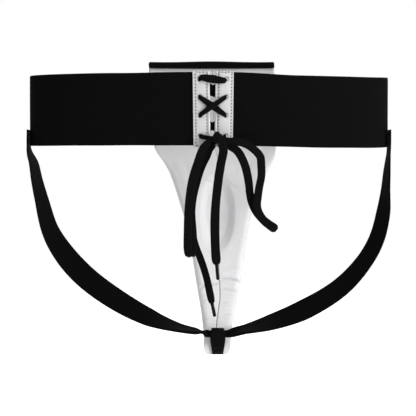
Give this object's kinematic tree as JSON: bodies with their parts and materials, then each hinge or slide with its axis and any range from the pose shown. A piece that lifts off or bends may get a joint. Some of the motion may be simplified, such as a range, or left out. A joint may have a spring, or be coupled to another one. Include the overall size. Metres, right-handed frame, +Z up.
{
  "type": "groin protector",
  "caption": "Groin guard: elastic waistband laced at the back with a bow, leather pad over a hard cup, webbing loop at the tip and one elastic leg strap",
  "frame": {"origin": "middle of the waistband ring, at half its height, midway between its two ends", "axes": "+Z up as worn, +Y towards the wearer's front where the pad hangs, the lacing at -Y, +X across the waist"},
  "size_m": [0.3963, 0.1248, 0.3264],
  "materials": {
    "elastic": "knitted elastic, matt black",
    "lace": "flat woven lace, matt black",
    "webbing": "woven webbing, matt black",
    "binding": "folded binding tape, black with a low sheen",
    "leather": "smooth white leather with fine creases",
    "stiffener": "fibre sheet",
    "foam": "open foam",
    "steel": "pressed steel",
    "aglet": "heat-shrunk clear-coated tip over black lace"
  },
  "bodies": {
    "root": {"waistband_left": "elastic", "waistband_right": "elastic", "lace_panel_left_outer": "leather", "lace_panel_left_inner": "leather", "lace_panel_left_stiffener": "stiffener", "lace_panel_left_piping": "leather", "lace_through_panels": "lace", "belly_cover": "leather", "belly_lining": "leather", "belly_foam": "foam", "belly_top_binding": "binding", "leg_strap": "elastic"},
    "right_panel": {"lace_panel_right_outer": "leather", "lace_panel_right_inner": "leather", "lace_panel_right_stiffener": "stiffener", "lace_panel_right_piping": "leather"},
    "bow": {"bow_knot": "lace", "bow_loop_left": "lace", "bow_loop_right": "lace", "lace_tail_left": "lace", "lace_tail_middle": "lace", "lace_aglet_left": "aglet", "lace_aglet_middle": "aglet"},
    "cup_pad": {"cup_cover": "leather", "cup_lining_left": "leather", "cup_lining_right": "leather", "cup_steel_shell": "steel", "cup_foam_core": "foam", "cup_foam_rim": "foam", "tip_webbing_loop": "webbing"}
  },
  "joints": [
    {"name": "pad_fold", "type": "hinge", "parent": "root", "child": "cup_pad", "pos_m": [0.008, 0.0312, -0.0422], "axis": [1, 0, 0], "range_deg": [-8, 50], "stiffness_Nm_per_rad": 0.8, "deforming": ["leg_strap"]},
    {"name": "lacing_gap", "type": "slide", "parent": "root", "child": "right_panel", "axis": [1, 0, 0], "range_m": [-0.002, 0.015], "stiffness_N_per_m": 300, "deforming": ["waistband_right", "lace_through_panels"]},
    {"name": "bow_swing", "type": "hinge", "parent": "root", "child": "bow", "pos_m": [0.0088, -0.057, -0.0302], "axis": [1, 0, 0], "range_deg": [-75, 0]}
  ]
}
